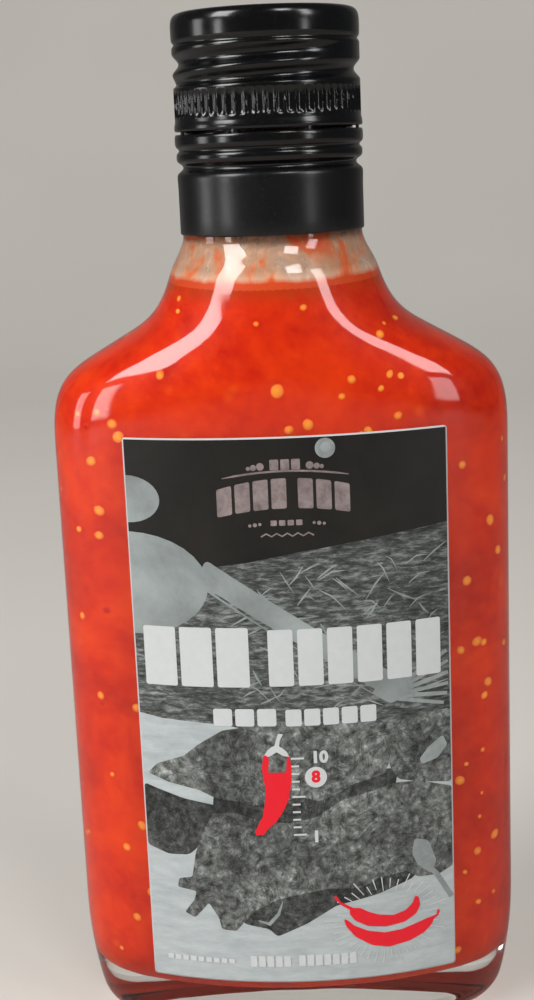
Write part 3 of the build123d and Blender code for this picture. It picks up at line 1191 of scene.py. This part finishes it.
    round_fields = Ink("label_round_fields", 5, paper)
    for middle, half_height, reach in ((84.0, 3.9, 5.4), (70.0, 8.6, 12.6)):
        points = []
        for step in range(17):
            turn = math.pi * step / 16
            points.append((-edge + reach * math.sin(turn), middle + half_height * math.cos(turn)))
        round_fields.outline(points)
    round_fields.finish(soft)

    rod = Ink("label_rod", 6, paper)
    rod.outline([(-15.4, 70.4), (15.8, 48.6), (18.8, 50.2), (18.2, 52.6), (-13.2, 74.2)], 0.7)
    rod.finish(soft)
    rod_shade = Ink("label_rod_shade", 7, paper)
    rod_shade.stroke([(-12.0, 68.6, 0.3), (0.0, 60.3, 1.0), (13.0, 51.2, 1.0)], 0.7)
    rod_shade.finish(herbs)

    tuft = Ink("label_tuft", 5, paper)
    blades = random.Random(4)
    for _ in range(64):
        x = blades.uniform(-11, 22)
        height = blades.uniform(48.5, 72.5 + 0.08 * x)
        lean = blades.choice((-0.9, -0.5, 0.4, 0.7)) + blades.uniform(-0.25, 0.25)
        long = blades.uniform(2.4, 6.5) * 0.9
        dx = min(long * math.cos(lean), edge - 0.3 - x)
        dz = long * math.sin(lean)
        if height + dz > 73.5 + 0.1 * x or height + dz < 47.6:
            dz = -dz * 0.3
        bow = blades.uniform(-0.4, 0.7)
        tuft.stroke([
            (x, height, 0.3), (x + dx / 2, height + dz / 2 + bow, 1.0), (x + dx, height + dz, 0.2),
        ], blades.uniform(0.18, 0.42))
    for start, end, wide in (
        ((17.4, 51.8), (25.2, 56.6), 0.9), ((17.6, 51.3), (25.4, 54.8), 0.8),
        ((17.6, 50.8), (25.4, 52.8), 0.9), ((17.6, 50.3), (25.4, 50.9), 0.8),
        ((17.4, 49.9), (25.2, 49.2), 0.9), ((17.0, 49.4), (24.6, 47.6), 0.8),
    ):
        tuft.stroke([(*start, 0.9), (*end, 0.7)], wide)
    tuft.finish(blade)

    ring = Ink("label_ring", 5, paper)
    ring.disc(6.4, 91.9, 1.6)
    ring.finish(blade)
    ring_middle = Ink("label_ring_middle", 6, paper)
    ring_middle.disc(6.5, 92.0, 0.85)
    ring_middle.finish(soft)

    emblem = Ink("label_foil_blocks", 5, paper)

    def arch(x):
        return 1.3 * (1 - (x / 11.0) ** 2)

    for left, count in ((-11.0, 4), (1.9, 3)):
        for block in range(count):
            x0 = left + 2.9 * block
            x1 = x0 + 2.4
            emblem.outline([
                (x0, 81.2 + arch(x0)), (x1, 81.2 + arch(x1)),
                (x1, 85.7 + 1.3 * arch(x1)), (x0, 85.7 + 1.3 * arch(x0)),
            ], 0.3)
    for block in range(3):
        emblem.bar(-2.4 + 1.7 * block, -1.0 + 1.7 * block, 88.7, 90.4, 0.2)
    for side in (-1, 1):
        for step, size in ((3.9, 0.62), (5.0, 0.5), (5.8, 0.34)):
            emblem.disc(side * step, 89.4 - 0.15 * step + 0.5, size, 12)
        emblem.disc(side * 4.3, 80.0, 0.26, 10)
        emblem.disc(side * 5.1, 79.9, 0.34, 10)
        emblem.disc(side * 5.9, 79.8, 0.26, 10)
    line = [10.0 * (step / 5 - 1) for step in range(11)]
    emblem.stroke([(x, 87.3 + 0.95 * arch(x), 0.4 if abs(x) > 9 else 1.0) for x in line], 0.32)
    for block in range(4):
        emblem.bar(-2.6 + 1.35 * block, -1.6 + 1.35 * block, 79.7, 80.6, 0.15)
    emblem.stroke([(x * 0.42, 78.2 + 0.25 * math.cos(1.6 * x), 1.0) for x in line], 0.26)
    emblem.finish(foil)

    title = Ink("label_white_print", 8, paper)
    for left, width, gap, count, low, high in (
        (-24.2, 5.3, 0.65, 3, 52.8, 62.9), (-3.9, 4.06, 0.74, 6, 52.9, 62.5),
        (-13.3, 3.1, 0.5, 3, 46.1, 49.1), (-1.5, 2.62, 0.43, 5, 46.0, 48.9),
    ):
        for block in range(count):
            x0 = left + (width + gap) * block
            title.bar(x0, x0 + width, low, high, 0.35)
    for left, width, gap, count, low, high in (
        (-23.3, 1.0, 0.32, 9, 3.3, 4.2), (-9.1, 1.15, 0.28, 5, 2.9, 4.9),
        (-0.9, 1.15, 0.28, 7, 3.0, 5.0),
    ):
        for block in range(count):
            x0 = left + (width + gap) * block
            title.bar(x0, x0 + width, low, high, 0.15)
    for mark in range(11):
        height = 40.38 - 1.345 * mark
        reach = 1.25 if mark % 5 == 0 else 0.4
        title.bar(-0.9, reach, height - 0.16, height + 0.16)
    title.figure("10", 3.8, 40.4, 2.75)
    title.figure("1", 2.85, 26.4, 2.75)
    title.disc(3.1, 37.0, 1.82)
    title.outline([
        (-5.4, 40.7), (-4.7, 41.9), (-4.0, 42.5), (-3.5, 42.7), (-3.25, 43.6), (-2.85, 44.8),
        (-2.0, 44.7), (-2.6, 43.6), (-2.75, 42.6), (-2.1, 42.2), (-1.5, 41.6), (-1.1, 40.6),
        (-2.3, 41.0), (-3.2, 41.6), (-4.2, 40.9),
    ], 0.12)
    rays = 40
    for ray in range(rays):
        turn = math.tau * (ray + 0.5) / rays
        near = 1.0 + 0.10 * (ray % 2)
        far = near + (0.16, 0.32, 0.22)[ray % 3]
        start = (14.2 + 6.6 * near * math.cos(turn), 10.4 + 5.2 * near * math.sin(turn))
        end = (14.2 + 7.4 * far * math.cos(turn), 10.4 + 5.9 * far * math.sin(turn))
        if end[1] > 1.0:
            title.stroke([(*start, 0.5), (*end, 1.0)], 0.2)
    title.finish(white)

    pepper = Ink("label_red_peppers", 9, paper)
    pepper.outline([
        (-5.4, 40.9), (-5.7, 38.9), (-5.55, 36.9), (-5.25, 35.1), (-5.45, 32.8), (-5.9, 30.3),
        (-6.7, 28.8), (-7.3, 27.5), (-7.1, 26.9), (-5.9, 27.0), (-4.9, 28.3), (-3.7, 29.3),
        (-2.4, 31.3), (-1.5, 33.3), (-0.95, 36.3), (-0.85, 38.8), (-1.1, 40.7), (-1.5, 40.9),
        (-1.75, 38.0), (-4.7, 38.0), (-4.5, 40.6), (-5.0, 41.1),
    ], 0.12)
    pepper.figure("8", 3.1, 37.0, 2.75)
    pepper.stroke([(5.5, 15.5, 0.9), (6.4, 14.2, 0.8), (8.4, 12.9, 1.2)], 0.5)
    pepper.outline([
        (8.0, 13.2), (9.8, 13.0), (11.0, 12.2), (12.9, 11.4), (15.3, 11.0), (17.4, 11.6),
        (18.6, 12.7), (19.1, 14.0), (19.7, 13.6), (19.9, 12.1), (19.2, 10.7), (17.2, 9.5),
        (14.0, 9.1), (10.9, 9.6), (8.8, 10.8), (7.9, 12.1),
    ], 0.3)
    pepper.stroke([(21.9, 9.2, 1.2), (22.9, 9.8, 0.8), (23.1, 10.6, 0.8)], 0.5)
    pepper.outline([
        (6.9, 11.3), (7.5, 11.0), (8.6, 9.9), (10.9, 8.7), (13.8, 8.0), (16.7, 8.2), (19.2, 8.9),
        (21.2, 9.5), (22.4, 9.6), (21.9, 8.3), (20.6, 7.0), (18.1, 5.9), (14.4, 5.3), (11.5, 6.0),
        (8.8, 7.8), (7.3, 9.8),
    ], 0.3)
    pepper.finish(red)


# Build the bottle

glass = glass_flask()
hand_over(glass, glass_finish(), "glass_bottle")

sauce = sauce_fill()
hand_over(sauce, sauce_finish(), "hot_sauce")

film = sauce_film()
hand_over(film, film_finish())

chance = random.Random(11)
seeds = scatter(
    sauce, seed_shape("seed", 0.05), SEED_COUNT, (1.1, 3.1), chance, "chilli_seeds", BIG_SEEDS
)
hand_over(
    seeds,
    seed_finish("seed_yellow", (0.84, 0.34, 0.04, 1), (0.68, 0.050, 0.002, 1)),
)
flakes = scatter(sauce, seed_shape("flake", 0.15), FLAKE_COUNT, (1.2, 3.4), chance, "chilli_flakes")
hand_over(
    flakes,
    seed_finish("flake_red", (0.42, 0.006, 0.003, 1), (0.62, 0.022, 0.004, 1)),
)

cap = screw_cap()
hand_over(cap, cap_finish(), "screw_cap")

label_sheet = paper_label()
hand_over(label_sheet, paper_finish("paper_white", colour(214, 216, 216)), "front_label")
label_print(label_sheet)


# Stage


FLOOR_GLOW = 0.52


def stage_floor():
    """A pale floor that sweeps up behind into a backdrop."""
    drop_all()
    bpy.ops.mesh.primitive_plane_add(size=2.4, enter_editmode=True)
    bpy.ops.mesh.select_mode(type="EDGE")
    mesh = bmesh.from_edit_mesh(bpy.context.object.data)
    for edge in mesh.edges:
        edge.select_set(all(vertex.co.y > 1 for vertex in edge.verts))
    bmesh.update_edit_mesh(bpy.context.object.data)
    bpy.ops.mesh.extrude_edges_move(TRANSFORM_OT_translate={"value": (0, 0, 1.6)})
    mesh = bmesh.from_edit_mesh(bpy.context.object.data)
    for edge in mesh.edges:
        edge.select_set(all(vertex.co.y > 1 and vertex.co.z < 0.1 for vertex in edge.verts))
    bmesh.update_edit_mesh(bpy.context.object.data)
    bpy.ops.mesh.bevel(offset=0.5, segments=24, affect="EDGES")
    floor = leave(40)
    floor.name = "floor"
    material, nodes, shader = new_finish("pale_floor")
    mottle = nodes.noise(nodes.place(), 6.0, 2.0)
    shade = nodes.blend(mottle, (0.50, 0.475, 0.435, 1), (0.54, 0.515, 0.475, 1))
    nodes.put(shader, "Base Color", shade)
    path = nodes.add("ShaderNodeLightPath").outputs
    seen = nodes.math("MAXIMUM", path["Is Camera Ray"], path["Is Transmission Ray"])
    nodes.put(shader, "Emission Color", shade)
    nodes.put(shader, "Emission Strength", nodes.math("MULTIPLY", seen, FLOOR_GLOW))
    nodes.put(shader, "Roughness", 0.7)
    nodes.put(shader, "Specular IOR Level", 0.2)
    floor.data.materials.append(material)


def softbox(name, azimuth, elevation, distance, width, height, power):
    """A rectangular lamp that faces the bottle's middle; azimuth 0 is in front, + to the right."""
    turn = math.radians(azimuth)
    lift = math.radians(elevation)
    target = Vector((0, 0, 0.09))
    away = Vector((math.sin(turn) * math.cos(lift), -math.cos(turn) * math.cos(lift), math.sin(lift)))
    lamp = bpy.data.lights.new(name, "AREA")
    lamp.shape = "RECTANGLE"
    lamp.size = width
    lamp.size_y = height
    lamp.energy = power
    holder = bpy.data.objects.new(name, lamp)
    bpy.context.scene.collection.objects.link(holder)
    holder.location = target + away * distance
    holder.rotation_euler = away.to_track_quat("Z", "Y").to_euler()


def studio():
    softbox("key_softbox", -55, 36, 0.9, 0.34, 0.44, 5.5)
    softbox("low_left_softbox", -86, 6, 0.9, 0.20, 0.34, 0.9)
    softbox("left_strip", -56, 5, 0.9, 0.13, 0.28, 0.75)
    softbox("right_strip", 50, 4, 0.9, 0.10, 0.20, 0.3)
    softbox("side_softbox", 27, 44, 0.9, 0.22, 0.20, 1.7)
    softbox("right_softbox", 54, 28, 1.0, 0.20, 0.44, 2.4)
    world = bpy.data.worlds.new("pale_room")
    bpy.context.scene.world = world
    world.use_nodes = True
    nodes = Nodes(world.node_tree)
    back = world.node_tree.nodes["Background"]
    nodes.put(back, "Color", (0.86, 0.90, 0.94, 1))
    nodes.put(back, "Strength", 0.08)
    seen = nodes.add("ShaderNodeBackground", {"Color": (0.8, 0.8, 0.79, 1), "Strength": 1.0})
    path = nodes.add("ShaderNodeLightPath")
    mix = nodes.add("ShaderNodeMixShader", {
        0: path.outputs["Is Camera Ray"], 1: back.outputs[0], 2: seen.outputs[0],
    })
    nodes.put(world.node_tree.nodes["World Output"], "Surface", mix.outputs[0])


def camera():
    yaw, pitch, roll = (math.radians(angle) for angle in (-1.735, 12.87, -2.434))
    forward = Vector((
        math.sin(yaw) * math.cos(pitch), math.cos(yaw) * math.cos(pitch), -math.sin(pitch),
    ))
    right = Vector((math.cos(yaw), -math.sin(yaw), 0))
    up = right.cross(forward)
    across = right * math.cos(roll) + up * math.sin(roll)
    upward = up * math.cos(roll) - right * math.sin(roll)
    data = bpy.data.cameras.new("camera")
    data.lens = 56.7
    data.clip_start = 0.01
    holder = bpy.data.objects.new("camera", data)
    bpy.context.scene.collection.objects.link(holder)
    place = Matrix((across, upward, -forward)).transposed().to_4x4()
    place.translation = Vector((5.13, -261.07, 150.76)) * MM
    holder.matrix_world = place
    bpy.context.scene.camera = holder


stage_floor()
studio()
camera()
bpy.context.scene.view_settings.view_transform = "Standard"
